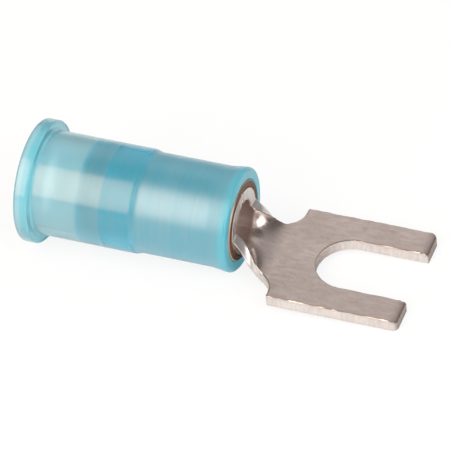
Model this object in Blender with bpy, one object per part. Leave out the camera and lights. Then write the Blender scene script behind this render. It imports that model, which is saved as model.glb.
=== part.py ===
"""Nylon-insulated fork terminal for the end of a wire.

Three pieces share one barrel axis, parallel to X:
  fork_and_barrel   one punched sheet, formed into a flat fork, a dished neck and a rolled barrel
  grip_sleeve       a thin metal tube over the barrel, reaching back over the wire's own insulation
  nylon_insulator   a moulded sleeve with a flange and a funnel at the wire's end

Metres, +Z up, the tines pointing along +X. The origin is the middle of the tongue's shoulder line,
on the tongue's underside.
"""

import math

import bmesh
import bpy
import numpy as np
from mathutils import Vector

MM = 0.001

# Fork: a flat tongue with a slot for a screw or stud
SHEET = 0.75 * MM  # thickness of the sheet
TONGUE_WIDTH = 8.0 * MM
TONGUE_LENGTH = 8.25 * MM  # shoulder line to tine tips
SLOT_WIDTH = 4.15 * MM
STUD_PLACE = 4.0 * MM  # shoulder line to the centre of the slot's round root
TIP_ROUND = 0.35 * MM  # outer corner of each tine
MOUTH_ROUND = 0.1 * MM  # slot corner of each tine
DIE_ROLL = 0.09 * MM  # soft edge that the punch leaves on the upper side

# Neck: a round notch on each side, and a dish that climbs from the tongue to the barrel
NECK_LENGTH = 2.65 * MM  # shoulder line to the barrel's front edge
NECK_WIDTH = 4.28 * MM
NOTCH_RADIUS = 1.5 * MM
BARREL_RISE = 0.6 * MM  # tongue's underside to the barrel's underside
CURL_START = 0.7 * MM  # shoulder line to where the sheet begins to curl
RISE_START = 0.1 * MM  # shoulder line to where the sheet begins to climb

# Barrel: the same sheet rolled round the wire, its two edges meeting on top
BARREL_LENGTH = 6.25 * MM
BARREL_BORE = 2.56 * MM
SEAM_GAP = 0.12 * MM
GROOVE_WIDTH = 0.5 * MM  # shallow rings pressed in the bore bite the wire's strands
GROOVE_SLOPE = 0.12 * MM
GROOVE_DEPTH = 0.08 * MM
GROOVE_PITCH = 1.4 * MM
GROOVE_MARGIN = 1.2 * MM  # least plain length at each end of the barrel

# Grip sleeve
CLEARANCE = 0.05 * MM  # between the barrel and the sleeve, and the sleeve and the nylon
SLEEVE_WALL = 0.43 * MM
SLEEVE_REACH = 3.55 * MM  # past the barrel's back end, over the wire's own insulation
SLEEVE_CHAMFER = 0.22 * MM  # lead-in at the wire's end
SLEEVE_EDGE = 0.08 * MM

# Nylon insulator
LIP_SETBACK = 0.07 * MM  # sleeve's front end to the nylon's
ENTRY_LENGTH = 7.25 * MM  # barrel's back end to the nylon's
COVER_WALL = 0.55 * MM  # over the barrel
COVER_STEP = 0.125 * MM  # the wire's end is this much thicker, all round
STEP_RUN = 0.35 * MM
LIP_FLARE = 0.16 * MM
LIP_FLARE_LENGTH = 1.3 * MM
LIP_ROUND = 0.25 * MM
SEAT_REACH = 1.9 * MM  # barrel's back end to the step in the nylon's bore
SEAT_RAMP = 0.14 * MM
WIRE_GAP = 0.24 * MM  # between the sleeve and the wider bore behind the step
FLANGE_HEIGHT = 0.59 * MM  # above the tube
FLANGE_THICKNESS = 0.88 * MM
FLANGE_SHOULDER = 0.14 * MM
FLANGE_EDGE = 0.14 * MM
FLANGE_FILLET = 0.09 * MM
FUNNEL_FLARE = 0.55 * MM  # the mouth's radius less the wider bore's
FUNNEL_DEPTH = 1.5 * MM
FUNNEL_BLEND = 0.6 * MM
MOUTH_EDGE = 0.1 * MM

# Sizes that follow from those above
CURL_RADIUS = BARREL_BORE / 2 + SHEET / 2  # of the sheet's middle
BARREL_RADIUS = BARREL_BORE / 2 + SHEET
AXIS_HEIGHT = BARREL_RISE + BARREL_RADIUS
BARREL_FRONT = -NECK_LENGTH
BARREL_BACK = BARREL_FRONT - BARREL_LENGTH
BARREL_REACH = math.pi * CURL_RADIUS - SEAM_GAP / 2  # half the blank's width at the barrel
SLEEVE_BACK = BARREL_BACK - SLEEVE_REACH
SLEEVE_INNER = BARREL_RADIUS + CLEARANCE
SLEEVE_OUTER = SLEEVE_INNER + SLEEVE_WALL
INSULATOR_FRONT = BARREL_FRONT - LIP_SETBACK
INSULATOR_BACK = BARREL_BACK - ENTRY_LENGTH
SEAT_BACK = BARREL_BACK - SEAT_REACH
SEAT_RADIUS = SLEEVE_OUTER + CLEARANCE
COVER_RADIUS = SEAT_RADIUS + COVER_WALL
TUBE_RADIUS = COVER_RADIUS + COVER_STEP
WIRE_RADIUS = SLEEVE_OUTER + WIRE_GAP
FLANGE_RADIUS = TUBE_RADIUS + FLANGE_HEIGHT

# Fineness of the mesh
TURN_STEPS = 64  # faces round each turned piece
ARC_ANGLE = math.radians(15)  # widest angle between two points of a rounded corner
NOTCH_ANGLE = math.radians(9)
NECK_CUTS = 16
CURL_CUTS = 22  # strips between the middle of the sheet and its edge
HAIR = 1e-9  # two places closer than this are one
FULLEST = 0.96  # share of a side that the roundings at its two ends may take


def smooth(share):
    """0 below 0, 1 above 1, and between them a curve that leaves and arrives with no bend."""
    share = min(max(share, 0.0), 1.0)
    return share**3 * (share * (6 * share - 15) + 10)


def arc(centre, radius, start, end, widest=ARC_ANGLE):
    """Points along a circle from one angle to another."""
    steps = max(1, math.ceil(abs(end - start) / widest))
    angles = np.linspace(start, end, steps + 1)
    return [(centre[0] + radius * math.cos(a), centre[1] + radius * math.sin(a)) for a in angles]


def rounded(corners):
    """The closed outline through corners of (x, y, radius), each corner turned on its own radius.
    Where two roundings would meet on the side between them, both are made that much smaller."""
    count = len(corners)
    points = [Vector(corner[:2]) for corner in corners]
    halves = [(points[i - 1] - p).angle(points[(i + 1) % count] - p) / 2 for i, p in enumerate(points)]
    takes = [corners[i][2] / math.tan(halves[i]) for i in range(count)]
    fits = [1.0] * count
    for i in range(count):
        side = (points[i] - points[i - 1]).length * FULLEST
        fit = min(1.0, side / max(takes[i] + takes[i - 1], HAIR))
        fits[i] = min(fits[i], fit)
        fits[i - 1] = min(fits[i - 1], fit)
    outline = []
    for i, corner in enumerate(points):
        take = takes[i] * fits[i]
        if take < HAIR:
            outline.append(tuple(corner))
            continue
        before = (points[i - 1] - corner).normalized()
        after = (points[(i + 1) % count] - corner).normalized()
        centre = corner + (before + after).normalized() * take / math.cos(halves[i])
        start = corner + before * take - centre
        end = corner + after * take - centre
        first = math.atan2(start.y, start.x)
        sweep = math.remainder(math.atan2(end.y, end.x) - first, 2 * math.pi)
        outline += arc(centre, start.length, first, first + sweep)
    return outline


def notch_side():
    """The round notch between the barrel and the shoulder. It is a full round where the neck is
    short, and two rounds with a straight between them where the neck is longer than the punch."""
    shoulder_x = -NOTCH_RADIUS
    barrel_x = min(shoulder_x, BARREL_FRONT + NOTCH_RADIUS)
    y = NECK_WIDTH / 2 + NOTCH_RADIUS
    meets_barrel = -math.acos(min((BARREL_FRONT - barrel_x) / NOTCH_RADIUS, 0.0))
    past_tongue = max(y - TONGUE_WIDTH / 2, 0.0)
    meets_shoulder = -math.asin(min(past_tongue / NOTCH_RADIUS, 1.0))
    lowest = -math.pi / 2
    first = arc((barrel_x, y), NOTCH_RADIUS, meets_barrel, lowest, NOTCH_ANGLE)
    second = arc((shoulder_x, y), NOTCH_RADIUS, lowest, meets_shoulder, NOTCH_ANGLE)
    same = barrel_x > shoulder_x - HAIR
    return first + second[1:] if same else first + second


def blank_side():
    """One side of the flat blank, from the barrel's back end round to the slot's root."""
    half_tongue = TONGUE_WIDTH / 2
    half_slot = SLOT_WIDTH / 2
    tine = rounded(
        [
            (0.0, half_tongue, 0.0),
            (TONGUE_LENGTH, half_tongue, TIP_ROUND),
            (TONGUE_LENGTH, half_slot, MOUTH_ROUND),
            (STUD_PLACE, half_slot, 0.0),
        ]
    )
    root = arc((STUD_PLACE, 0.0), half_slot, math.pi / 2, math.pi, NOTCH_ANGLE)
    barrel = [(BARREL_BACK, BARREL_REACH), (BARREL_FRONT, BARREL_REACH)]
    return barrel + notch_side() + tine + root[1:]


def punched_blank():
    """The flat sheet before it is formed, with the punch's soft edge round its upper side."""
    side = blank_side()
    outline = side + [(x, -y) for x, y in reversed(side[:-1])]
    bm = bmesh.new()
    lower = bm.faces.new([bm.verts.new((x, y, -SHEET / 2)) for x, y in outline])
    raised = bmesh.ops.extrude_face_region(bm, geom=[lower])["geom"]
    top = [part for part in raised if isinstance(part, bmesh.types.BMVert)]
    bmesh.ops.translate(bm, verts=top, vec=(0, 0, SHEET))
    bmesh.ops.recalc_face_normals(bm, faces=bm.faces)
    rim = [edge for edge in bm.edges if all(v.co.z > 0 for v in edge.verts)]
    bmesh.ops.bevel(bm, geom=rim, offset=DIE_ROLL, segments=2, profile=0.5, affect="EDGES")
    return bm


def groove_edges():
    """(outer start, floor start, floor end, outer end) along X of each ring in the bore."""
    room = BARREL_LENGTH - 2 * GROOVE_MARGIN - GROOVE_WIDTH
    count = math.floor(room / GROOVE_PITCH) + 1
    middle = (BARREL_FRONT + BARREL_BACK) / 2
    rings = []
    for i in range(count):
        start = middle + (i - (count - 1) / 2) * GROOVE_PITCH - GROOVE_WIDTH / 2
        end = start + GROOVE_WIDTH
        rings.append((start, start + GROOVE_SLOPE, end - GROOVE_SLOPE, end))
    return rings


def cut_across(bm, place, normal):
    """Adds edges where a plane meets the part of the sheet behind the shoulder line."""
    formed = [face for face in bm.faces if all(v.co.x < HAIR for v in face.verts)]
    edges = {edge for face in formed for edge in face.edges}
    verts = {vert for face in formed for vert in face.verts}
    geom = [*verts, *edges, *formed]
    bmesh.ops.bisect_plane(bm, geom=geom, dist=HAIR, plane_co=place, plane_no=normal)


def score(bm):
    """Gives the sheet the edges along which it will bend."""
    bmesh.ops.bisect_plane(
        bm, geom=[*bm.verts, *bm.edges, *bm.faces], dist=HAIR, plane_co=(0, 0, 0), plane_no=(1, 0, 0)
    )
    for share in np.linspace(0, 1, NECK_CUTS + 1)[1:]:
        cut_across(bm, (-share * NECK_LENGTH, 0, 0), (1, 0, 0))
    for ring in groove_edges():
        for x in ring:
            cut_across(bm, (x, 0, 0), (1, 0, 0))
    for i in range(1 - CURL_CUTS, CURL_CUTS):
        cut_across(bm, (0, BARREL_REACH * i / CURL_CUTS, 0), (0, 1, 0))


def press_grooves(bm):
    """Sinks the floor of each ring below the face that will line the bore."""
    floors = [x for ring in groove_edges() for x in ring[1:3]]
    floor = SHEET / 2 - GROOVE_DEPTH
    for vert in bm.verts:
        if vert.co.z > floor and any(abs(vert.co.x - x) < HAIR * 10 for x in floors):
            vert.co.z = floor


def form(bm):
    """Curls and lifts the flat sheet: each row across it becomes an arc that tightens and climbs
    from the flat tongue to the full barrel. Height above the sheet's middle becomes nearness to
    the barrel's axis."""
    for vert in bm.verts:
        x, across, above = vert.co
        behind = -x
        curl = smooth((behind - CURL_START) / (NECK_LENGTH - CURL_START)) / CURL_RADIUS
        climb = smooth((behind - RISE_START) / (NECK_LENGTH - RISE_START)) * BARREL_RISE
        base = SHEET / 2 + climb
        if curl * CURL_RADIUS < 1e-6:
            vert.co.z = base + above
            continue
        radius = 1 / curl
        vert.co.y = (radius - above) * math.sin(across * curl)
        vert.co.z = base + radius - (radius - above) * math.cos(across * curl)


def material(name, colour, roughness, metallic):
    """A plain finish in one colour."""
    made = bpy.data.materials.new(name)
    made.use_nodes = True
    shader = made.node_tree.nodes["Principled BSDF"]
    shader.inputs["Base Color"].default_value = (*colour, 1.0)
    shader.inputs["Roughness"].default_value = roughness
    shader.inputs["Metallic"].default_value = metallic
    return made


def piece(name, bm, finish, height, parent):
    """Turns a finished bmesh into a named object at its height on the terminal."""
    bmesh.ops.recalc_face_normals(bm, faces=bm.faces)
    mesh = bpy.data.meshes.new(name)
    bm.to_mesh(mesh)
    bm.free()
    mesh.materials.append(finish)
    mesh.shade_smooth()
    mesh.set_sharp_from_angle(angle=math.radians(35))
    made = bpy.data.objects.new(name, mesh)
    bpy.context.collection.objects.link(made)
    made.location = (0, 0, height)
    made.parent = parent
    return made


def turned(outline):
    """A ring of the given section, (x, radius), swept round the X axis."""
    bm = bmesh.new()
    verts = [bm.verts.new((x, 0, radius)) for x, radius in outline]
    edges = [bm.edges.new((verts[i - 1], verts[i])) for i in range(len(verts))]
    bmesh.ops.spin(
        bm,
        geom=[*verts, *edges],
        cent=(0, 0, 0),
        axis=(1, 0, 0),
        angle=2 * math.pi,
        steps=TURN_STEPS,
        use_merge=True,
    )
    return bm


def add_fork_and_barrel(parent):
    bm = punched_blank()
    score(bm)
    press_grooves(bm)
    form(bm)
    finish = material("tinned copper sheet", (0.47, 0.42, 0.40), 0.32, 1.0)
    piece("fork_and_barrel", bm, finish, 0.0, parent)


def add_grip_sleeve(parent):
    chamfer = min(SLEEVE_CHAMFER, SLEEVE_WALL - 2 * SLEEVE_EDGE)
    section = rounded(
        [
            (SLEEVE_BACK, SLEEVE_OUTER, SLEEVE_EDGE),
            (BARREL_FRONT, SLEEVE_OUTER, SLEEVE_EDGE),
            (BARREL_FRONT, SLEEVE_INNER, 0.0),
            (SLEEVE_BACK + chamfer, SLEEVE_INNER, 0.0),
            (SLEEVE_BACK, SLEEVE_INNER + chamfer, 0.0),
        ]
    )
    finish = material("plain copper tube", (0.36, 0.26, 0.21), 0.35, 1.0)
    piece("grip_sleeve", turned(section), finish, AXIS_HEIGHT, parent)


def add_nylon_insulator(parent):
    flange_end = INSULATOR_BACK + FLANGE_THICKNESS
    flare_start = INSULATOR_FRONT - LIP_FLARE_LENGTH
    section = rounded(
        [
            (INSULATOR_BACK, FLANGE_RADIUS, FLANGE_EDGE),
            (flange_end, FLANGE_RADIUS, FLANGE_SHOULDER),
            (flange_end, TUBE_RADIUS, FLANGE_FILLET),
            (BARREL_BACK, TUBE_RADIUS, 0.0),
            (BARREL_BACK + STEP_RUN, COVER_RADIUS, 0.0),
            (flare_start, COVER_RADIUS, LIP_FLARE_LENGTH),
            (INSULATOR_FRONT, COVER_RADIUS + LIP_FLARE, LIP_ROUND),
            (INSULATOR_FRONT, SEAT_RADIUS, 0.0),
            (SEAT_BACK, SEAT_RADIUS, 0.0),
            (SEAT_BACK - SEAT_RAMP, WIRE_RADIUS, 0.0),
            (INSULATOR_BACK + FUNNEL_DEPTH, WIRE_RADIUS, FUNNEL_BLEND),
            (INSULATOR_BACK, WIRE_RADIUS + FUNNEL_FLARE, MOUTH_EDGE),
        ]
    )
    finish = material("translucent blue nylon", (0.30, 0.62, 0.70), 0.25, 0.0)
    piece("nylon_insulator", turned(section), finish, AXIS_HEIGHT, parent)


def main():
    for old in list(bpy.data.objects):
        bpy.data.objects.remove(old, do_unlink=True)
    terminal = bpy.data.objects.new("fork_terminal", None)
    bpy.context.collection.objects.link(terminal)
    add_fork_and_barrel(terminal)
    add_grip_sleeve(terminal)
    add_nylon_insulator(terminal)


main()
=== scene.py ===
"""The finished look of a nylon-insulated fork terminal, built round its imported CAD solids.

Three pieces share one barrel axis, parallel to X. Each is a surface worked out from the same sizes
as the solids, much finer than they are, and takes the place of the solid of its kind:
  formed_sheet    the punched and rolled sheet: fork, dished neck and barrel
  lining_tube     the thin metal tube over the barrel
  nylon_sleeve    the translucent sleeve with its flange and funnel
"""

import math

import bmesh
import bpy
import numpy as np
from bpy.props import FloatProperty, FloatVectorProperty, IntProperty, PointerProperty
from bpy.types import Operator, Panel, PropertyGroup
from mathutils import Matrix, Vector


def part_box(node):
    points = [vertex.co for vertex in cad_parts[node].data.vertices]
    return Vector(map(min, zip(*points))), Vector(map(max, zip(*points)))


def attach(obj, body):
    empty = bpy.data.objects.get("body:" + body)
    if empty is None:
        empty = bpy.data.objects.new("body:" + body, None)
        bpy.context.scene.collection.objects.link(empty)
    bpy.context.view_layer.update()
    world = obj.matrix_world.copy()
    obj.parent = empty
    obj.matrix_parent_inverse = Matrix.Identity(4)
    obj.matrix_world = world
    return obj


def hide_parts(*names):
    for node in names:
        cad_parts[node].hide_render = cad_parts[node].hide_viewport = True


bl_info = {
    "name": "Fork terminal",
    "version": (1, 0, 0),
    "blender": (4, 5, 0),
    "location": "3D View > Sidebar > Terminal",
    "description": "Builds a nylon-insulated fork terminal and a plain stage for it",
    "category": "Object",
}

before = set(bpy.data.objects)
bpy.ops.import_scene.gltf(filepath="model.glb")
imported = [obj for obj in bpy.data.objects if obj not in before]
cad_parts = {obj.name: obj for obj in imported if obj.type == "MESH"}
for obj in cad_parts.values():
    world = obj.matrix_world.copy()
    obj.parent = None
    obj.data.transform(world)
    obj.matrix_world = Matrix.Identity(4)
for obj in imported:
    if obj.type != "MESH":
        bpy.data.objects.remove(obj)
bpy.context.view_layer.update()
MM = 0.001
SHEET_LOW, SHEET_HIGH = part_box("fork_and_barrel")
TUBE_LOW, TUBE_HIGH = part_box("grip_sleeve")
NYLON_LOW, NYLON_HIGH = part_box("nylon_insulator")
AXIS_HEIGHT = (NYLON_LOW.z + NYLON_HIGH.z) / 2

WELD = 1e-7  # points closer than this are one
SHARP = math.radians(40)  # edges that turn more than this stay sharp
WIDEST_TURN = math.radians(6)  # between two points of a rounded corner
LONGEST_STEP = 0.4 * MM  # between two points of a turned section
WHITE = (1.0, 1.0, 1.0, 1.0)
BLACK = (0.0, 0.0, 0.0, 1.0)


def size(label, millimetres, description):
    """A length that a user may change, written in millimetres."""
    return FloatProperty(
        name=label, description=description, default=millimetres * MM, unit="LENGTH", precision=5
    )


def place(label, metres, description):
    """A length or a place that starts from the solids."""
    return FloatProperty(
        name=label, description=description, default=metres, unit="LENGTH", precision=5
    )


def share(label, value, description, top=1.0):
    """A plain number from 0 to its top."""
    return FloatProperty(
        name=label, description=description, default=value, min=0.0, max=top, precision=3
    )


def colour(label, value, description):
    """A colour, as red, green and blue."""
    return FloatVectorProperty(
        name=label,
        description=description,
        default=value,
        size=3,
        subtype="COLOR",
        min=0.0,
        max=1.0,
    )


class SheetSizes(PropertyGroup):
    """The sheet that makes the fork, the neck and the barrel."""

    thickness: size("Sheet", 0.75, "Thickness of the sheet")
    half_tongue: place("Half tongue", SHEET_HIGH.y, "Half the tongue's width")
    tip: place("Tip", SHEET_HIGH.x, "From the shoulder line to the tine tips")
    slot: size("Slot", 4.15, "Width of the slot")
    stud: size("Stud", 4.0, "From the shoulder line to the centre of the slot's round root")
    tip_round: size("Tip round", 0.35, "Radius of each tine's outer corner")
    mouth_round: size("Mouth round", 0.1, "Radius of each tine's slot corner")
    corner: size("Corner", 0.1, "Radius of the other punched corners")
    die_roll: size("Die roll", 0.095, "Width of the soft edge that the punch leaves above")
    die_sink: size("Die sink", 0.022, "Depth of that edge")
    tip_run: size("Tip run", 0.55, "Length over which each tine's upper side rounds off at its tip")
    tip_drop: size("Tip drop", 0.25, "How far it comes down there")
    burr: size("Burr", 0.03, "Small round left on the lower side")
    tear: size("Tear", 0.035, "Depth of the tears along the upper edge of the sheared faces")
    neck: size("Neck", 2.65, "From the shoulder line back to the barrel")
    neck_width: size("Neck width", 4.28, "Narrowest width of the neck")
    notch: size("Notch", 1.5, "Radius of the round notch at each side of the neck")
    rise: size("Rise", 0.6, "From the tongue's underside up to the barrel's")
    curl_start: size("Curl start", 0.7, "From the shoulder line to where the sheet starts to curl")
    rise_start: size("Rise start", 0.1, "From the shoulder line to where the sheet starts to climb")
    bore: size("Bore", 2.56, "Diameter of the barrel's bore")
    seam: size("Seam", 0.12, "Gap between the barrel's two edges")
    groove: size("Groove", 0.5, "Width of each ring pressed in the bore")
    groove_slope: size("Groove slope", 0.12, "Width of each ring's sloping side")
    groove_depth: size("Groove depth", 0.08, "Depth of each ring")
    groove_pitch: size("Groove pitch", 1.4, "From one ring to the next")
    strips: IntProperty(
        name="Strips", description="Faces from the sheet's middle to its edge", default=48, min=8
    )


class TubeSizes(PropertyGroup):
    """The thin metal tube over the barrel."""

    wall: size("Wall", 0.43, "Wall of the tube")
    lead_in: size("Lead-in", 0.22, "Bevel inside the wire's end")
    edge: size("Edge", 0.14, "Round on the outer rims")
    front_edge: size("Front edge", 0.12, "Round on the inner rim at the fork's end")
    lead_edge: size("Lead edge", 0.02, "Round on the bevel's outer rim")
    steps: IntProperty(name="Steps", description="Faces round the tube", default=192, min=24)


class NylonSizes(PropertyGroup):
    """The moulded sleeve."""

    seat_gap: size("Seat gap", 0.05, "Between the tube and the nylon")
    wire_gap: size("Wire gap", 0.24, "Between the tube and the wider bore")
    cover: size("Cover", 0.55, "Wall over the barrel")
    step: size("Step", 0.125, "How much thicker the wire's end is, all round")
    step_run: size("Step run", 0.35, "Length of that step")
    step_round: size("Step round", 0.9, "Radius of that step's corners")
    lip_flare: size("Lip flare", 0.16, "How far the lip spreads")
    lip_length: size("Lip length", 1.3, "Length over which the lip spreads")
    lip_round: size("Lip round", 0.25, "Radius of the lip's outer edge")
    lip_inner: size("Lip inner", 0.05, "Radius of the lip's inner edge")
    seat_reach: size("Seat reach", 1.9, "From the barrel's back end to the step in the bore")
    seat_ramp: size("Seat ramp", 0.14, "Length of the step in the bore")
    seat_round: size("Seat round", 0.03, "Radius of its corners")
    flange: size("Flange", 0.88, "Thickness of the flange")
    flange_shoulder: size("Flange shoulder", 0.14, "Radius of the flange's front edge")
    flange_edge: size("Flange edge", 0.14, "Radius of the flange's back edge")
    flange_fillet: size("Flange fillet", 0.15, "Radius where the flange meets the tube")
    funnel_flare: size("Funnel flare", 0.55, "How far the mouth spreads")
    funnel_depth: size("Funnel depth", 1.5, "Length of the funnel")
    funnel_blend: size("Funnel blend", 1.4, "Radius where the funnel meets the bore")
    mouth_edge: size("Mouth edge", 0.1, "Radius of the mouth's edge")
    steps: IntProperty(name="Steps", description="Faces round the sleeve", default=192, min=24)


class Finishes(PropertyGroup):
    """The colours of the metals and the nylon."""

    sheet: colour("Sheet", (0.705, 0.59, 0.54), "Tin plate on the rolled faces")
    # Also used as painted shade on the forward faces of the tine tips.
    sheet_dark: colour("Sheet, dark", (0.49, 0.38, 0.335), "Tin plate in its streaks and stains")
    cut: colour("Cut face", (0.79, 0.77, 0.76), "Sheared faces")
    cut_dark: colour("Cut face, dark", (0.64, 0.60, 0.58), "Sheared faces in their tear marks")
    # Painted shade: a darker colour for the sheared faces that face along the terminal, the tine
    # ends and the slot's root.
    cut_painted_shade: colour("Cut face, across", (0.44, 0.39, 0.37), "Sheared faces across the grain")
    tube: colour("Tube", (0.66, 0.48, 0.37), "Thin plate on the tube")
    # Partly the copper's own colour and partly painted shade in the recess inside the nylon's lip.
    tube_end_copper_and_shade: colour("Tube, bare", (0.19, 0.115, 0.08), "Copper at the tube's cut ends")
    # Painted light: lighter than the plate, so that the bore inside the barrel does not fall into
    # shade.
    lining: colour("Lining", (0.80, 0.67, 0.61), "Clean tin plate inside the barrel")
    # Painted shade: the band, seat and cover tints are deeper because metal lies behind the wall,
    # and the rim tint stands for the wall seen edge on at the lip.
    nylon_flange: colour("Nylon, flange", (0.20, 0.66, 0.77), "Nylon at its thickest, the flange")
    nylon_thin: colour("Nylon, thin", (0.39, 0.71, 0.79), "Nylon with nothing behind it")
    nylon_band: colour("Nylon, band", (0.12, 0.57, 0.73), "Nylon round the tube, with a gap")
    nylon_seat: colour("Nylon, seat", (0.06, 0.61, 0.82), "Nylon tight on the tube")
    nylon_cover: colour("Nylon, cover", (0.02, 0.565, 0.76), "Nylon over the barrel")
    nylon_rim: colour("Nylon, rim", (0.09, 0.80, 0.97), "Nylon seen edge on, at the lip")
    clearness: share("Clearness", 0.65, "Share of the light that the nylon lets through")
    milkiness: share("Milkiness", 0.2, "How much the nylon blurs what lies behind it")
    frost: share("Frost", 0.42, "The same where the nylon is tight over the barrel")
    sheen: colour("Sheen", (1.0, 0.66, 0.48), "Tint of what the nylon mirrors")


class StageSettings(PropertyGroup):
    """The camera, the floor and the lights."""

    distance: place("Distance", 0.2410225, "From the camera to the tongue")
    azimuth: FloatProperty(
        name="Azimuth", description="Camera's turn from the front", default=0.39191, unit="ROTATION"
    )
    elevation: FloatProperty(
        name="Elevation", description="Camera's height angle", default=0.75574, unit="ROTATION"
    )
    roll: FloatProperty(name="Roll", description="Camera's tilt", default=-0.07739, unit="ROTATION")
    lens: FloatProperty(
        name="Lens", description="Focal length on a 36 mm sensor", default=320.0, unit="CAMERA"
    )
    right: share("Right", 0.138551, "Tongue's place, right of the middle, as a share of the width")
    down: share("Down", 0.059274, "Tongue's place, below the middle, as a share of the width")
    floor: colour("Floor", (0.88, 0.88, 0.88), "Colour of the floor")
    floor_front: share("Floor light", 1.0, "Brightness that the floor lends to the terminal", 4.0)
    evenness: share("Evenness", 0.84, "Share of the floor's light that shadows leave alone")
    mirrored: share("Mirrored", 0.0, "The same share in reflections")
    softbox: share("Softbox", 3.6, "Brightness of the softbox beside the camera", 20.0)
    softbox_tint: colour("Softbox tint", (1.0, 0.85, 0.73), "Colour of the softbox")
    side_light: share("Side light", 2.8, "Brightness of the smaller softbox on the right", 20.0)
    room: share("Room", 0.6, "Brightness of the room's own light", 4.0)
    right_side: share("Right side", 0.25, "Share of the room's reflections left on the right")


def smooth(part):
    """Part held between 0 and 1, then 6 p^5 - 15 p^4 + 10 p^3: a step with soft ends."""
    part = np.clip(part, 0.0, 1.0)
    return part**3 * (part * (6.0 * part - 15.0) + 10.0)


def line(start, end, steps):
    """Points start + (end - start) u for u from 0 to 1, without the last one."""
    u = np.linspace(0.0, 1.0, steps, endpoint=False)[:, None]
    return np.array(start) + (np.array(end) - np.array(start)) * u


def arc(centre, radius, start, end, steps):
    """Points centre + radius (cos a, sin a) for a from start to end, without the last one."""
    a = np.linspace(start, end, steps, endpoint=False)
    return np.array(centre) + radius * np.stack([np.cos(a), np.sin(a)], 1)


def rounded(corners):
    """The closed outline through corners of (x, y, radius). A corner of half angle h gives up
    radius / tan h of each side, and turns about a centre radius / sin h along its middle line.
    Straight sides are divided so that no step is too long."""
    points = np.array([corner[:2] for corner in corners])
    radii = np.array([corner[2] for corner in corners])
    before = np.roll(points, 1, 0) - points
    after = np.roll(points, -1, 0) - points
    before /= np.linalg.norm(before, axis=1)[:, None]
    after /= np.linalg.norm(after, axis=1)[:, None]
    half = np.arccos(np.clip((before * after).sum(1), -1.0, 1.0)) / 2
    middle = before + after
    middle /= np.linalg.norm(middle, axis=1)[:, None]
    centres = points + middle * (radii / np.sin(half))[:, None]
    starts = points + before * (radii / np.tan(half))[:, None]
    ends = points + after * (radii / np.tan(half))[:, None]
    outline = []
    for i in range(len(points)):
        if radii[i] > 0:
            a, b = starts[i] - centres[i], ends[i] - centres[i]
            first = math.atan2(a[1], a[0])
            sweep = math.remainder(math.atan2(b[1], b[0]) - first, math.tau)
            steps = max(3, math.ceil(abs(sweep) / WIDEST_TURN))
            outline.append(arc(centres[i], radii[i], first, first + sweep, steps))
        reach = starts[(i + 1) % len(points)]
        steps = max(1, math.ceil(np.linalg.norm(reach - ends[i]) / LONGEST_STEP))
        outline.append(line(ends[i], reach, steps))
    return np.concatenate(outline)


def grid_faces(rows, columns, wrapped=False):
    """The four-sided faces of a grid of points numbered row by row. Wrapped, the last row meets the
    first and the last column meets the first."""
    r = np.arange(rows if wrapped else rows - 1)[:, None]
    c = np.arange(columns if wrapped else columns - 1)[None, :]
    below, right = (r + 1) % rows, (c + 1) % columns
    corners = [r * columns + c, r * columns + right, below * columns + right, below * columns + c]
    return np.stack(np.broadcast_arrays(*corners), -1).reshape(-1, 4)


def mesh_object(name, points, faces, material, marks=None):
    """Puts arrays of points and four-sided faces into a mesh, joins the points that coincide and
    turns the faces outwards. Marks are a number for each point, kept as the attribute 'cut'."""
    mesh = bpy.data.meshes.new(name)
    mesh.vertices.add(len(points))
    mesh.vertices.foreach_set("co", points.astype(np.float32).ravel())
    mesh.loops.add(faces.size)
    mesh.loops.foreach_set("vertex_index", faces.astype(np.int32).ravel())
    mesh.polygons.add(len(faces))
    mesh.polygons.foreach_set("loop_start", np.arange(0, faces.size, 4, dtype=np.int32))
    mesh.update(calc_edges=True)
    if marks is not None:
        kept = mesh.attributes.new("cut", "FLOAT", "POINT")
        kept.data.foreach_set("value", marks.astype(np.float32))
    bm = bmesh.new()
    bm.from_mesh(mesh)
    bmesh.ops.remove_doubles(bm, verts=bm.verts, dist=WELD)
    bmesh.ops.recalc_face_normals(bm, faces=bm.faces)
    open_edges = sum(1 for edge in bm.edges if not edge.is_manifold)
    bm.to_mesh(mesh)
    bm.free()
    if open_edges:
        raise RuntimeError(f"{name} has {open_edges} open edges")
    mesh.materials.append(material)
    mesh.shade_smooth()
    mesh.set_sharp_from_angle(angle=SHARP)
    made = bpy.data.objects.new(name, mesh)
    bpy.context.scene.collection.objects.link(made)
    return made


def turned(name, section, steps, material):
    """The section (x, radius) swept round the barrel's axis: x stays, y = radius cos a and
    z = axis height + radius sin a, for a all the way round."""
    a = np.linspace(0.0, math.tau, steps, endpoint=False)
    x = np.broadcast_to(section[:, :1], (len(section), steps))
    y = section[:, 1:] * np.cos(a)
    z = AXIS_HEIGHT + section[:, 1:] * np.sin(a)
    points = np.stack([x, y, z], -1).reshape(-1, 3)
    return mesh_object(name, points, grid_faces(len(section), steps, wrapped=True), material)


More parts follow.
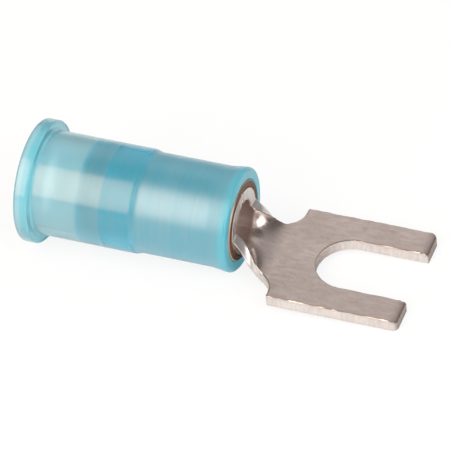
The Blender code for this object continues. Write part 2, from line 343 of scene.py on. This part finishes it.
def sheet_rows(s, inset):
    """Where each row of strips meets the blank's outer edge and its inner one, at a distance in
    from both. The outer edge runs from the barrel's back corner past the notch and the shoulder to
    the tine's tip. The inner one runs along the middle line, round the slot's root and along the
    slot's side to the same tip. Both have as many rows in each of their stretches."""
    to_root, to_tip = (4, 112, 9, 4, 26, 46, 5, 5, 14), (36, 18, 12, 12)
    back, front = SHEET_LOW.x, -s.neck
    reach = math.pi * (s.bore + s.thickness) / 2 - s.seam / 2
    c, left = s.corner, s.corner - inset
    width, length = s.half_tongue, s.tip
    notch_y = s.neck_width / 2 + s.notch
    notch = s.notch + inset
    meets = math.sqrt(notch**2 - (front - inset + s.notch) ** 2)
    meets_angle = math.atan2(-meets, front - inset + s.notch)
    root = s.slot / 2 + inset
    even = front - 0.55 * MM
    tine_start, tine_root = 1.6 * MM, s.stud + 0.4 * MM
    near_tip = length - s.tip_run - 0.2 * MM
    tip_centre = (length - s.tip_round, width - s.tip_round)
    mouth_centre = (length - s.mouth_round, s.slot / 2 + s.mouth_round)
    outer = [
        arc((back + c, reach - c), left, math.pi, math.pi / 2, to_root[0]),
        line((back + c, reach - inset), (even, reach - inset), to_root[1]),
        line((even, reach - inset), (front - c, reach - inset), to_root[2]),
        arc((front - c, reach - c), left, math.pi / 2, 0.0, to_root[3]),
        line((front - inset, reach - c), (front - inset, notch_y - meets), to_root[4]),
        arc((-s.notch, notch_y), notch, meets_angle, 0.0, to_root[5]),
        line((inset, notch_y), (inset, width - c), to_root[6]),
        arc((c, width - c), left, math.pi, math.pi / 2, to_root[7]),
        line((c, width - inset), (tine_start, width - inset), to_root[8]),
        line((tine_start, width - inset), (tine_root, width - inset), to_tip[0]),
        line((tine_root, width - inset), (near_tip, width - inset), to_tip[1]),
        line((near_tip, width - inset), (length - s.tip_round, width - inset), to_tip[2]),
        arc(tip_centre, s.tip_round - inset, math.pi / 2, 0.0, to_tip[3]),
        [(length - inset, width - s.tip_round)],
    ]
    middle = [back + inset, back + c, even, front - 0.35 * MM, front - 0.3 * MM, front + 0.1 * MM]
    middle += [-0.3 * MM, -0.1 * MM, 0.05 * MM, s.stud - root]
    inner = [line((middle[i], 0.0), (middle[i + 1], 0.0), rows) for i, rows in enumerate(to_root)]
    inner += [
        arc((s.stud, 0.0), root, math.pi, math.pi / 2, to_tip[0]),
        line((s.stud, root), (near_tip, root), to_tip[1]),
        line((near_tip, root), (length - s.mouth_round, root), to_tip[2]),
        arc(mouth_centre, s.mouth_round - inset, -math.pi / 2, 0.0, to_tip[3]),
        [(length - inset, s.slot / 2 + s.mouth_round)],
    ]
    return np.concatenate(outer), np.concatenate(inner), sum(to_root)


def sheet_loop(s, inset):
    """The outline of half the blank, at a distance in from its edge: across the barrel's back end,
    along the outer rows, across the tine's tip and back to the middle of the slot's root."""
    outer, inner, root_row = sheet_rows(s, inset)
    u = np.linspace(0.0, 1.0, s.strips + 1)[:, None]
    across_back = inner[0] + (outer[0] - inner[0]) * u
    across_tip = outer[-1] + (inner[-1] - outer[-1]) * u
    return np.concatenate([across_back, outer[1:], across_tip[1:], inner[root_row:-1][::-1]])


def formed(points, s):
    """Rolls the flat blank up. Behind the shoulder each row across the sheet becomes an arc of
    curvature k, which grows smoothly from 0 to the barrel's: y = (1/k - above) sin(across k) and
    z = base + 1/k - (1/k - above) cos(across k), on a base that climbs smoothly too. The upper side
    is lower in the bore's rings, and falls off in a quarter ellipse at each tine's tip."""
    x, across, above = points.T
    slope = np.minimum(s.groove_slope, s.groove / 2)
    middle = (SHEET_LOW.x - s.neck) / 2
    pitches = (x - middle) / s.groove_pitch
    ring = np.abs(pitches - np.clip(np.round(pitches), -1, 1))
    dip = np.clip((s.groove / 2 - ring * s.groove_pitch) / slope, 0.0, 1.0) * s.groove_depth
    above = np.minimum(above, s.thickness / 2 - dip)
    past = np.clip((x - SHEET_HIGH.x + s.tip_run) / s.tip_run, 0.0, 0.995)
    above = above - (1 - np.sqrt(1 - past**2)) * s.tip_drop * (above / s.thickness + 0.5)
    radius = (s.bore + s.thickness) / 2
    curl = smooth((-x - s.curl_start) / (s.neck - s.curl_start)) / radius
    climb = smooth((-x - s.rise_start) / (s.neck - s.rise_start)) * s.rise
    base = s.thickness / 2 + climb
    bent = curl * radius > 1e-5
    k = np.where(bent, curl, 1.0)
    y = np.where(bent, (1 / k - above) * np.sin(across * k), across)
    z = np.where(bent, base + 1 / k - (1 / k - above) * np.cos(across * k), base + above)
    return np.stack([x, y, z], 1)


def tears_along(loop, s):
    """How deep the punch tore the edge at each point of a loop: random depths, evened out between
    neighbours, in patches of a given length, deeper where the neck is bent and always within the
    die roll."""
    patch_length, bend_length, deeper, deepest = 0.7 * MM, 1.0 * MM, 1.5, 0.7 * s.die_roll
    draw = np.random.default_rng(5)
    raw = draw.random(len(loop))
    fine = (np.roll(raw, 1) + 2 * raw + np.roll(raw, -1)) / 4
    along = np.concatenate([[0.0], np.cumsum(np.linalg.norm(np.diff(loop, axis=0), axis=1))])
    knots = np.arange(0.0, along[-1] + 1.0 * MM, patch_length)
    patch = np.interp(along, knots, draw.random(len(knots)))
    bent = smooth(-loop[:, 0] / bend_length)
    depth = s.tear * np.clip(2.2 * fine - 0.6, 0.0, 1.0) * patch * (1.0 + deeper * bent)
    return np.minimum(depth, deepest)


def sheet_surfaces(s):
    """The points, faces and cut marks of the whole formed sheet: an upper and a lower face as grids
    of strips, and a rim whose profile is carried along the blank's outline, for one half and its
    mirror image."""
    half = s.thickness / 2
    parts = []
    u = np.linspace(0.0, 1.0, s.strips + 1)[None, :, None]
    for inset, height in ((s.die_roll, half), (s.burr, -half)):
        outer, inner, _ = sheet_rows(s, inset)
        flat = inner[:, None] + (outer - inner)[:, None] * u
        heights = np.full(flat.shape[:2] + (1,), height)
        parts.append((np.concatenate([flat, heights], -1), np.zeros(flat.shape[1])))
    roll_steps = 7
    profile = [
        (s.die_roll * (1 - u), half - s.die_sink * u**2) for u in np.linspace(0.0, 1.0, roll_steps)
    ]
    fall = s.thickness - s.die_sink - s.burr
    profile += [(0.0, half - s.die_sink - fall * u) for u in (0.015, 0.25, 0.5)]
    profile += [(0.004 * MM, -half + 0.16 * MM)]
    burr = np.linspace(0.0, math.pi / 2, 4)
    profile += [(s.burr * (1 - math.cos(a)), -half + s.burr * (1 - math.sin(a))) for a in burr]
    shorn = np.array([0.0] * roll_steps + [0.4, 1.0, 1.0, 0.95, 0.6, 0.5, 0.4, 0.3])
    rim = []
    for inset, height in profile:
        loop = sheet_loop(s, inset)
        rim.append(np.concatenate([loop, np.full((len(loop), 1), height)], 1))
    rim = np.stack(rim, 1)
    edge = rim[:, roll_steps - 1, :2]
    pull = np.array([0.0, 0.0, 0.1, 0.3, 0.6, 0.9, 1.0, 1.0, 0.8, 0.3] + [0.0] * 5)
    depth = tears_along(edge, s)[:, None] * pull
    inward = (rim[:, 0, :2] - edge)[:, None] / s.die_roll
    rim[:, :, :2] += inward * depth[:, :, None]
    rim[:, :, 2] -= depth
    parts.append((rim, shorn))
    points, faces, marks, count = [], [], [], 0
    for grid, mark in parts:
        rows, columns = grid.shape[:2]
        for side in (1.0, -1.0):
            points.append(grid.reshape(-1, 3) * (1.0, side, 1.0))
            faces.append(grid_faces(rows, columns) + count)
            marks.append(np.tile(mark, rows))
            count += rows * columns
    return formed(np.concatenate(points), s), np.concatenate(faces), np.concatenate(marks)


def new_material(name):
    """An empty material: its nodes, its shader and itself."""
    made = bpy.data.materials.new(name)
    made.use_nodes = True
    return made.node_tree, made.node_tree.nodes["Principled BSDF"], made


def feed(tree, target, value):
    """Gives an input its value. A value that is a socket is linked."""
    if isinstance(value, bpy.types.NodeSocket):
        tree.links.new(value, target)
    else:
        target.default_value = value


def add(tree, kind, **values):
    """A node of the given kind. Names that the node has are set on it, and other names are its
    inputs, by name or as i0, i1 and so on."""
    node = tree.nodes.new(kind)
    for name, value in values.items():
        if name.startswith("i") and name[1:].isdigit():
            feed(tree, node.inputs[int(name[1:])], value)
        elif hasattr(node, name):
            setattr(node, name, value)
        else:
            feed(tree, node.inputs[name.replace("_", " ")], value)
    return node


def math_node(tree, operation, a, b=0.0, c=0.0):
    """The output of one Math node."""
    return add(tree, "ShaderNodeMath", operation=operation, i0=a, i1=b, i2=c).outputs[0]


def weighed(tree, value, weight, rest=0.0):
    """Value times weight, plus the rest."""
    return math_node(tree, "MULTIPLY_ADD", value, weight, rest)


def noise(tree, place, scale, detail, roughness, distortion=0.0):
    """The output of one Noise node."""
    return add(
        tree,
        "ShaderNodeTexNoise",
        Vector=place,
        Scale=scale,
        Detail=detail,
        Roughness=roughness,
        Distortion=distortion,
    ).outputs["Fac"]


def mixed(tree, factor, a, b):
    """A colour between a and b."""
    return add(tree, "ShaderNodeMix", data_type="RGBA", i0=factor, i6=a, i7=b).outputs[2]


def mixed_shaders(tree, factor, a, b):
    """A shader between a and b."""
    return add(tree, "ShaderNodeMixShader", i0=factor, i1=a, i2=b).outputs[0]


def ranged(tree, value, low, high, to_low=0.0, to_high=1.0, curve="SMOOTHSTEP"):
    """Value carried from one range to another, with soft ends."""
    return add(
        tree,
        "ShaderNodeMapRange",
        interpolation_type=curve,
        Value=value,
        From_Min=low,
        From_Max=high,
        To_Min=to_low,
        To_Max=to_high,
    ).outputs[0]


def past(tree, x, edge, start, end, before=0.0, after=1.0):
    """A soft change along the terminal, from start to end, in millimetres from an edge."""
    return ranged(tree, x, edge + start * MM, edge + end * MM, before, after)


def group(name, inputs, outputs):
    """An empty shader node group with named sockets, and its two end nodes."""
    made = bpy.data.node_groups.new(name, "ShaderNodeTree")
    for label, kind, default in inputs:
        socket = made.interface.new_socket(label, in_out="INPUT", socket_type=kind)
        if default is not None:
            socket.default_value = default
    for label in outputs:
        made.interface.new_socket(label, in_out="OUTPUT", socket_type="NodeSocketFloat")
    return made, made.nodes.new("NodeGroupInput").outputs, made.nodes.new("NodeGroupOutput").inputs


def use(tree, made, **values):
    """Places a node group in a material, with its own values."""
    return add(tree, "ShaderNodeGroup", node_tree=made, **values)


def drawn_lines():
    """Fine parallel lines that rolling or drawing leaves in a metal. The place is stretched along
    the lines and read by two noises, one coarse and one fine. Puts out a mask and a height."""
    made, given, out = group(
        "drawn lines",
        [
            ("Place", "NodeSocketVector", None),
            ("Fineness", "NodeSocketFloat", 6000.0),
            ("Contrast", "NodeSocketFloat", 1.0),
        ],
        ["Mask", "Height"],
    )
    fine = noise(made, given["Place"], given["Fineness"], 5.0, 0.6)
    coarse = noise(made, given["Place"], weighed(made, given["Fineness"], 0.27), 3.0, 0.5)
    both = math_node(made, "ADD", fine, coarse)
    centred = weighed(made, both, given["Contrast"])
    offset = weighed(made, given["Contrast"], -1.0, 0.5)
    mask = add(made, "ShaderNodeMath", operation="ADD", use_clamp=True, i0=centred, i1=offset)
    made.links.new(mask.outputs[0], out["Mask"])
    made.links.new(both, out["Height"])
    return made


def stains():
    """Soft cloudy patches and a few small marks, such as handling leaves. A broad noise gives the
    patches and a fine one with a threshold gives the marks."""
    made, given, out = group(
        "handling marks",
        [("Place", "NodeSocketVector", None), ("Breadth", "NodeSocketFloat", 500.0)],
        ["Patches", "Marks"],
    )
    broad = noise(made, given["Place"], given["Breadth"], 4.0, 0.55, 0.4)
    small = noise(made, given["Place"], weighed(made, given["Breadth"], 5.0), 2.0, 0.5)
    made.links.new(ranged(made, broad, 0.35, 0.65), out["Patches"])
    made.links.new(ranged(made, small, 0.62, 0.74), out["Marks"])
    return made


def place_on_piece(tree):
    """The place on the piece, and its part along the terminal."""
    here = add(tree, "ShaderNodeTexCoord").outputs["Object"]
    return here, add(tree, "ShaderNodeSeparateXYZ", Vector=here).outputs["X"]


def stretched(tree, here, scale):
    """The place on the piece, stretched along its axes."""
    return add(tree, "ShaderNodeMapping", Vector=here, Scale=scale).outputs[0]


def bumped(tree, shader, height, strength, depth):
    """Lets the light see a height on the surface, at a depth in metres."""
    bump = add(tree, "ShaderNodeBump", Strength=strength, Distance=depth, Height=height)
    tree.links.new(bump.outputs[0], shader.inputs["Normal"])


def rgba(value):
    """A colour with its alpha."""
    return (*value, 1.0)


def sheet_finish(f, s):
    """Tin plate: satin rolled faces with streaks and stains, brighter sheared faces with short
    upright tear marks, a dish burnished by its punch and a duller skin in the barrel. Painted shade
    darkens the sheared faces that face along the terminal and the forward faces of the tine tips,
    and painted light makes the inside of the barrel lighter."""
    tree, shader, made = new_material("tin plated sheet")
    here, x = place_on_piece(tree)
    grain, upright = stretched(tree, here, (0.3, 1.0, 0.5)), stretched(tree, here, (1.0, 1.0, 0.2))
    lines = use(tree, drawn_lines(), Place=grain, Fineness=17000.0, Contrast=2.4)
    tears = use(tree, lines.node_tree, Place=upright, Fineness=14000.0, Contrast=2.5)
    wear = use(tree, stains(), Place=here, Breadth=420.0)
    streaks, patches = lines.outputs["Mask"], wear.outputs["Patches"]
    cut = add(tree, "ShaderNodeAttribute", attribute_name="cut").outputs["Fac"]
    dark = weighed(tree, patches, 0.12, weighed(tree, streaks, 0.3))
    dark = weighed(tree, wear.outputs["Marks"], 0.3, dark)
    plate = mixed(tree, dark, rgba(f.sheet), rgba(f.sheet_dark))
    torn = weighed(tree, patches, 0.35, weighed(tree, tears.outputs["Mask"], 0.7))
    torn = mixed(tree, torn, rgba(f.cut), rgba(f.cut_dark))
    # Painted shade: past the shoulder, sheared faces that face along the terminal are painted
    # darker.
    facing = add(tree, "ShaderNodeNewGeometry").outputs["Normal"]
    facing = add(tree, "ShaderNodeSeparateXYZ", Vector=facing).outputs["X"]
    across = ranged(tree, math_node(tree, "ABSOLUTE", facing), 0.5, 1.0)
    across = weighed(tree, across, past(tree, x, 0.0, 0.0, 1.0))
    torn = mixed(tree, across, torn, rgba(f.cut_painted_shade))
    # Painted shade: faces of the tine tips that turn forward, past 7.5 mm, are painted in the dark
    # plate colour.
    tip_painted_shade = weighed(tree, ranged(tree, facing, 0.15, 0.6), past(tree, x, 0.0, 7.5, 7.9))
    plate = mixed(tree, tip_painted_shade, plate, rgba(f.sheet_dark))
    # Painted light: the inside of the barrel takes the lighter lining colour, standing in for light
    # reflected round the bore.
    bore_painted_light = past(tree, x, -s.neck, -0.9, 0.5, 1.0, 0.0)
    plate = mixed(tree, bore_painted_light, plate, rgba(f.lining))
    tree.links.new(mixed(tree, cut, plate, torn), shader.inputs["Base Color"])
    inside = past(tree, x, -s.neck, -0.9, 1.2, 0.2, -0.12)
    dish = past(tree, x, 0.0, -0.7, -0.1, inside, 0.0)
    rough = weighed(tree, patches, 0.05, weighed(tree, streaks, 0.12, 0.26))
    rough = math_node(tree, "ADD", rough, dish)
    tree.links.new(mixed(tree, cut, rough, (0.4, 0.4, 0.4, 1.0)), shader.inputs["Roughness"])
    pressed = past(tree, x, 0.0, -0.8, 0.2, 0.35, 1.0)
    height = weighed(tree, lines.outputs["Height"], pressed)
    bumped(tree, shader, mixed(tree, cut, height, tears.outputs["Height"]), 0.2, 0.01 * MM)
    shader.inputs["Metallic"].default_value = 1.0
    return made


def tube_finish(f):
    """A drawn tube: thin plate with rings round it, and bare copper at the rim that shows, painted
    very dark there as painted shade.
    """
    tree, shader, made = new_material("drawn metal tube")
    here, x = place_on_piece(tree)
    rings = stretched(tree, here, (1.0, 0.05, 0.05))
    lines = use(tree, drawn_lines(), Place=rings, Fineness=7000.0, Contrast=1.8)
    wear = use(tree, stains(), Place=here, Breadth=380.0)
    dark = weighed(tree, wear.outputs["Patches"], 0.2, weighed(tree, lines.outputs["Mask"], 0.5))
    shade = tuple(0.62 * channel for channel in f.tube)
    plate = mixed(tree, dark, rgba(f.tube), rgba(shade))
    # Bare copper at the front end, painted very dark: the copper's own colour darkened by painted
    # shade in the recess inside the nylon's lip.
    ends = past(tree, x, TUBE_HIGH.x, -0.05, -0.01)
    tree.links.new(mixed(tree, ends, plate, rgba(f.tube_end_copper_and_shade)), shader.inputs["Base Color"])
    tree.links.new(weighed(tree, lines.outputs["Mask"], 0.14, 0.46), shader.inputs["Roughness"])
    bumped(tree, shader, lines.outputs["Height"], 0.25, 0.01 * MM)
    shader.inputs["Metallic"].default_value = 1.0
    return made


def nylon_finish(f, n):
    """Milky nylon: what lies behind it shows blurred, and its colour deepens where the wall is
    thick.
    Its colour is painted deeper where the wall lies over metal, painted shade for the light that
    the metal behind takes away, and painted more saturated at the lip, where the wall is seen edge
    on.
    Faint painted streaks over the tube stand in for its drawn lines seen through the wall. The
    zones follow the steps in the bore and outside. A rough coat spreads the softbox into a broad
    band over the barrel."""
    tree, shader, made = new_material("translucent nylon")
    here, x = place_on_piece(tree)
    over_tube = past(tree, x, TUBE_LOW.x, -0.05, 0.2)
    over_seat = past(tree, x, SHEET_LOW.x - n.seat_reach, -0.12, 0.05)
    over_barrel = past(tree, x, SHEET_LOW.x, -0.1, 0.5)
    lip = past(tree, x, NYLON_HIGH.x, -0.8, -0.25)
    flange = past(tree, x, NYLON_LOW.x, 0.3, 0.55)
    past_flange = past(tree, x, NYLON_LOW.x + n.flange, -0.1, 0.3)
    flange = math_node(tree, "SUBTRACT", flange, past_flange)
    # Painted shade: the tints over the tube, the seat and the barrel are deeper because metal lies
    # behind the wall, and the lip's tint stands for the wall seen edge on.
    shade = rgba(f.nylon_thin)
    for zone, tint in (
        (flange, f.nylon_flange),
        (over_tube, f.nylon_band),
        (over_seat, f.nylon_seat),
        (over_barrel, f.nylon_cover),
        (lip, f.nylon_rim),
    ):
        shade = mixed(tree, zone, shade, rgba(tint))
    clouds = noise(tree, here, 260.0, 3.0, 0.5)
    # Painted highlight: faint pale rings over the tube stand in for its drawn lines seen through
    # the wall; the clouds are the nylon's own milky tone.
    rings = stretched(tree, here, (1.0, 0.05, 0.05))
    rings = use(tree, drawn_lines(), Place=rings, Fineness=5000.0, Contrast=2.0).outputs["Mask"]
    rings = weighed(tree, rings, over_tube)
    clouds_and_painted_streaks = weighed(tree, rings, 0.07, ranged(tree, clouds, 0.3, 0.7, 0.0, 0.06))
    tree.links.new(mixed(tree, clouds_and_painted_streaks, shade, (0.9, 0.97, 0.98, 1.0)), shader.inputs["Base Color"])
    blur = ranged(tree, over_barrel, 0.0, 1.0, f.milkiness, f.frost, "LINEAR")
    patchy = ranged(tree, clouds, 0.3, 0.7, -0.03, 0.03)
    tree.links.new(math_node(tree, "ADD", blur, patchy), shader.inputs["Roughness"])
    bumped(tree, shader, noise(tree, here, 1800.0, 2.0, 0.5), 0.05, 0.02 * MM)
    coat = weighed(tree, over_tube, 0.35)
    for zone, weight in ((over_seat, -0.25), (over_barrel, 0.8), (lip, -0.6)):
        coat = weighed(tree, zone, weight, coat)
    tree.links.new(coat, shader.inputs["Coat Weight"])
    for name, value in (
        ("IOR", 1.53),
        ("Transmission Weight", f.clearness),
        ("Specular IOR Level", 1.0),
        ("Specular Tint", rgba(f.sheen)),
        ("Coat Roughness", 0.36),
        ("Coat IOR", 2.0),
    ):
        shader.inputs[name].default_value = value
    return made


def floor_finish(g):
    """A pale floor, lit evenly, that still takes a shadow. Reflections show only the light that
    falls on it, and a painted shadow darkens it there past the tips. From below the camera sees
    through it."""
    tree, shader, made = new_material("pale floor")
    shader.inputs["Roughness"].default_value = 0.8
    shader.inputs["Specular IOR Level"].default_value = 0.0
    ray = add(tree, "ShaderNodeLightPath").outputs
    even = weighed(tree, ray["Is Glossy Ray"], g.mirrored - g.evenness, g.evenness)
    even = math_node(tree, "MAXIMUM", even, ray["Is Transmission Ray"])
    level = ranged(tree, ray["Is Diffuse Ray"], 0.0, 1.0, 1.0, g.floor_front, "LINEAR")
    glow = add(tree, "ShaderNodeEmission", Color=WHITE, Strength=level).outputs[0]
    # Painted shadow: in reflections the floor is darker past the tine tips, where their shadow
    # falls.
    painted_shadow_past_tips = past(tree, place_on_piece(tree)[1], SHEET_HIGH.x, -0.1, 0.2, 1.0, 0.75)
    shade = mixed(tree, ray["Is Glossy Ray"], WHITE, painted_shadow_past_tips)
    tree.links.new(mixed(tree, shade, BLACK, rgba(g.floor)), shader.inputs["Base Color"])
    seen = mixed_shaders(tree, even, shader.outputs[0], glow)
    below = add(tree, "ShaderNodeNewGeometry").outputs["Backfacing"]
    below = weighed(tree, below, ray["Is Camera Ray"])
    clear = add(tree, "ShaderNodeBsdfTransparent").outputs[0]
    seen = mixed_shaders(tree, below, seen, clear)
    tree.links.new(seen, tree.nodes["Material Output"].inputs["Surface"])
    return made


def room_light(g):
    """A plain room that lights all sides evenly. Reflections show it brightest half way up, and
    darker to the right."""
    world = bpy.data.worlds.new("studio")
    bpy.context.scene.world = world
    world.use_nodes = True
    tree = world.node_tree
    way = add(tree, "ShaderNodeTexCoord").outputs["Generated"]
    height = add(tree, "ShaderNodeSeparateXYZ", Vector=way).outputs["Z"]
    ramp = add(tree, "ShaderNodeValToRGB", Fac=height)
    stops = ramp.color_ramp.elements
    levels = [(0.0, 0.3), (0.3, 0.5), (0.62, 0.85), (0.74, 0.85), (0.88, 0.25), (1.0, 0.15)]
    while len(stops) < len(levels):
        stops.new(0.5)
    for stop, (at, level) in zip(stops, levels):
        stop.position = at
        stop.color = rgba((level,) * 3)
    ray = add(tree, "ShaderNodeLightPath").outputs
    plain = mixed(tree, ray["Is Diffuse Ray"], WHITE, rgba((g.room,) * 3))
    x = add(tree, "ShaderNodeSeparateXYZ", Vector=way).outputs["X"]
    fall = ranged(tree, x, -0.3, 0.75, 1.0, g.right_side, "LINEAR")
    shown = ramp.outputs["Color"]
    shown = add(tree, "ShaderNodeVectorMath", operation="SCALE", Vector=shown, Scale=fall)
    seen = mixed(tree, ray["Is Glossy Ray"], plain, shown.outputs[0])
    tree.links.new(seen, tree.nodes["Background"].inputs["Color"])


def aimed(made, position, target, up):
    """Places a camera or a lamp and turns it to its target, with its top towards up."""
    back = (Vector(position) - Vector(target)).normalized()
    side = Vector(up).cross(back).normalized()
    top = back.cross(side)
    made.matrix_world = Matrix(
        (
            (side.x, top.x, back.x, position[0]),
            (side.y, top.y, back.y, position[1]),
            (side.z, top.z, back.z, position[2]),
            (0.0, 0.0, 0.0, 1.0),
        )
    )
    bpy.context.scene.collection.objects.link(made)


def settings():
    """All the sizes and colours of the scene."""
    return bpy.context.scene.fork_terminal


class TERMINAL_OT_sheet(Operator):
    """Build the punched, rolled and tin plated sheet: fork, neck and barrel"""

    bl_idname = "terminal.sheet"
    bl_label = "Formed sheet"

    def execute(self, context):
        own = settings()
        points, faces, marks = sheet_surfaces(own.sheet)
        finish = sheet_finish(own.finishes, own.sheet)
        made = mesh_object("formed_sheet", points, faces, finish, marks)
        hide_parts("fork_and_barrel")
        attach(made, "root")
        return {"FINISHED"}


class TERMINAL_OT_tube(Operator):
    """Build the thin metal tube over the barrel"""

    bl_idname = "terminal.tube"
    bl_label = "Lining tube"

    def execute(self, context):
        own = settings()
        s = own.tube
        outer = TUBE_HIGH.z - AXIS_HEIGHT
        inner = outer - s.wall
        back, front = TUBE_LOW.x, TUBE_HIGH.x
        section = rounded(
            [
                (back, outer, s.edge),
                (front, outer, s.edge),
                (front, inner, s.front_edge),
                (back + s.lead_in, inner, 0.0),
                (back, inner + s.lead_in, s.lead_edge),
            ]
        )
        made = turned("lining_tube", section, s.steps, tube_finish(own.finishes))
        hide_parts("grip_sleeve")
        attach(made, "root")
        return {"FINISHED"}


class TERMINAL_OT_nylon(Operator):
    """Build the translucent nylon sleeve with its flange and funnel"""

    bl_idname = "terminal.nylon"
    bl_label = "Nylon sleeve"

    def execute(self, context):
        own = settings()
        n = own.nylon
        tube = TUBE_HIGH.z - AXIS_HEIGHT
        seat, wire = tube + n.seat_gap, tube + n.wire_gap
        cover = seat + n.cover
        body = cover + n.step
        flange = NYLON_HIGH.z - AXIS_HEIGHT
        back, front = NYLON_LOW.x, NYLON_HIGH.x
        step = SHEET_LOW.x
        seat_back = step - n.seat_reach
        section = rounded(
            [
                (back, flange, n.flange_edge),
                (back + n.flange, flange, n.flange_shoulder),
                (back + n.flange, body, n.flange_fillet),
                (step, body, n.step_round),
                (step + n.step_run, cover, n.step_round),
                (front - n.lip_length, cover, n.lip_length),
                (front, cover + n.lip_flare, n.lip_round),
                (front, seat, n.lip_inner),
                (seat_back, seat, n.seat_round),
                (seat_back - n.seat_ramp, wire, n.seat_round),
                (back + n.funnel_depth, wire, n.funnel_blend),
                (back, wire + n.funnel_flare, n.mouth_edge),
            ]
        )
        made = turned("nylon_sleeve", section, n.steps, nylon_finish(own.finishes, n))
        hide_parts("nylon_insulator")
        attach(made, "root")
        return {"FINISHED"}


class TERMINAL_OT_stage(Operator):
    """Build the floor, the lights and the camera"""

    bl_idname = "terminal.stage"
    bl_label = "Stage"

    def execute(self, context):
        g = settings().stage
        scene = context.scene
        scene.view_settings.view_transform = "Standard"
        turn, lift = g.azimuth, g.elevation
        back = Vector(
            (math.sin(turn) * math.cos(lift), -math.cos(turn) * math.cos(lift), math.sin(lift))
        )
        level = Vector((math.cos(turn), math.sin(turn), 0.0))
        upright = back.cross(level)
        side = level * math.cos(g.roll) + upright * math.sin(g.roll)
        top = upright * math.cos(g.roll) - level * math.sin(g.roll)
        tongue = Vector((0.0, 0.0, settings().sheet.thickness))
        position = tongue + back * g.distance
        sensor = 36.0
        reach = g.lens / sensor
        ahead = -back * reach - side * g.right + top * g.down
        camera = bpy.data.cameras.new("camera")
        camera.lens = g.lens
        camera.sensor_width = sensor
        camera.clip_start = 0.01
        camera.clip_end = 10.0
        seen = bpy.data.objects.new("camera", camera)
        aimed(seen, position, position + ahead, top)
        scene.camera = seen
        self.add_floor(g)
        self.add_lamps(g)
        room_light(g)
        return {"FINISHED"}

    def add_floor(self, g):
        """The plane through the flange's lowest line and the tine tips, which carries them."""
        n = settings().nylon
        heel = Vector((NYLON_LOW.x + n.flange - n.flange_shoulder, 0.0, NYLON_LOW.z))
        toe = Vector((SHEET_HIGH.x, 0.0, 0.0))
        along = (toe - heel).normalized()
        normal = Vector((-along.z, 0.0, along.x))
        clear, reach, rows = 0.02 * MM, 0.9, 9
        middle = (heel + toe) / 2 - normal * clear
        steps = np.linspace(-reach, reach, rows)
        gx, gy = np.meshgrid(steps, steps, indexing="ij")
        points = np.array(middle) + gx[..., None] * np.array(along)
        points += gy[..., None] * (0.0, 1.0, 0.0)
        mesh = bpy.data.meshes.new("floor")
        mesh.from_pydata(points.reshape(-1, 3).tolist(), [], grid_faces(rows, rows).tolist())
        mesh.materials.append(floor_finish(g))
        floor = bpy.data.objects.new("floor", mesh)
        bpy.context.scene.collection.objects.link(floor)
        if mesh.polygons[0].normal.z < 0:
            mesh.flip_normals()

    def add_lamps(self, g):
        """A softbox beside the camera, whose long reflection is the bright band along the tube, and
        a smaller one on the right that looks into the neck and the barrel."""
        way, top = (-0.298, -0.691, 0.658), (0.0, 0.658, 0.691)
        self.add_softbox("softbox", way, top, (16.0, 32.0), g.softbox, g.softbox_tint)
        way, top = (0.74, -0.42, 0.53), (-0.55, -0.31, 0.58)
        self.add_softbox("side light", way, top, (17.0, 27.0), g.side_light, (1.0, 1.0, 1.0))

    def add_softbox(self, name, way, top, half_angles, level, tint):
        """An area lamp that is seen from the barrel under the given half angles."""
        lamp = bpy.data.lights.new(name, "AREA")
        lamp.shape = "RECTANGLE"
        distance, middle = 0.45, Vector((-6.0 * MM, 0.0, 2.75 * MM))
        lamp.size, lamp.size_y = (2 * distance * math.tan(math.radians(a)) for a in half_angles)
        lamp.energy = level * math.pi * lamp.size * lamp.size_y
        lamp.color = tint
        box = bpy.data.objects.new(name, lamp)
        aimed(box, middle + Vector(way).normalized() * distance, middle, top)


class TERMINAL_PT_panel(Panel):
    """The terminal's pieces, sizes and colours"""

    bl_idname = "TERMINAL_PT_panel"
    bl_label = "Fork terminal"
    bl_space_type = "VIEW_3D"
    bl_region_type = "UI"
    bl_category = "Terminal"

    def draw(self, context):
        own = context.scene.fork_terminal
        for made, group_of_sizes in (
            (TERMINAL_OT_sheet, own.sheet),
            (TERMINAL_OT_tube, own.tube),
            (TERMINAL_OT_nylon, own.nylon),
            (TERMINAL_OT_stage, own.stage),
        ):
            box = self.layout.box()
            box.operator(made.bl_idname)
            for name in group_of_sizes.__annotations__:
                box.prop(group_of_sizes, name)
        box = self.layout.box()
        for name in own.finishes.__annotations__:
            box.prop(own.finishes, name)


class TerminalSettings(PropertyGroup):
    """Everything that a user may change."""

    sheet: PointerProperty(type=SheetSizes, name="Sheet")
    tube: PointerProperty(type=TubeSizes, name="Tube")
    nylon: PointerProperty(type=NylonSizes, name="Nylon")
    finishes: PointerProperty(type=Finishes, name="Finishes")
    stage: PointerProperty(type=StageSettings, name="Stage")


CLASSES = (
    SheetSizes,
    TubeSizes,
    NylonSizes,
    Finishes,
    StageSettings,
    TerminalSettings,
    TERMINAL_OT_sheet,
    TERMINAL_OT_tube,
    TERMINAL_OT_nylon,
    TERMINAL_OT_stage,
    TERMINAL_PT_panel,
)


def register():
    for kind in CLASSES:
        bpy.utils.register_class(kind)
    bpy.types.Scene.fork_terminal = PointerProperty(type=TerminalSettings)


def unregister():
    del bpy.types.Scene.fork_terminal
    for kind in reversed(CLASSES):
        bpy.utils.unregister_class(kind)


def main():
    register()
    bpy.ops.terminal.sheet()
    bpy.ops.terminal.tube()
    bpy.ops.terminal.nylon()
    bpy.ops.terminal.stage()


if __name__ == "__main__":
    main()
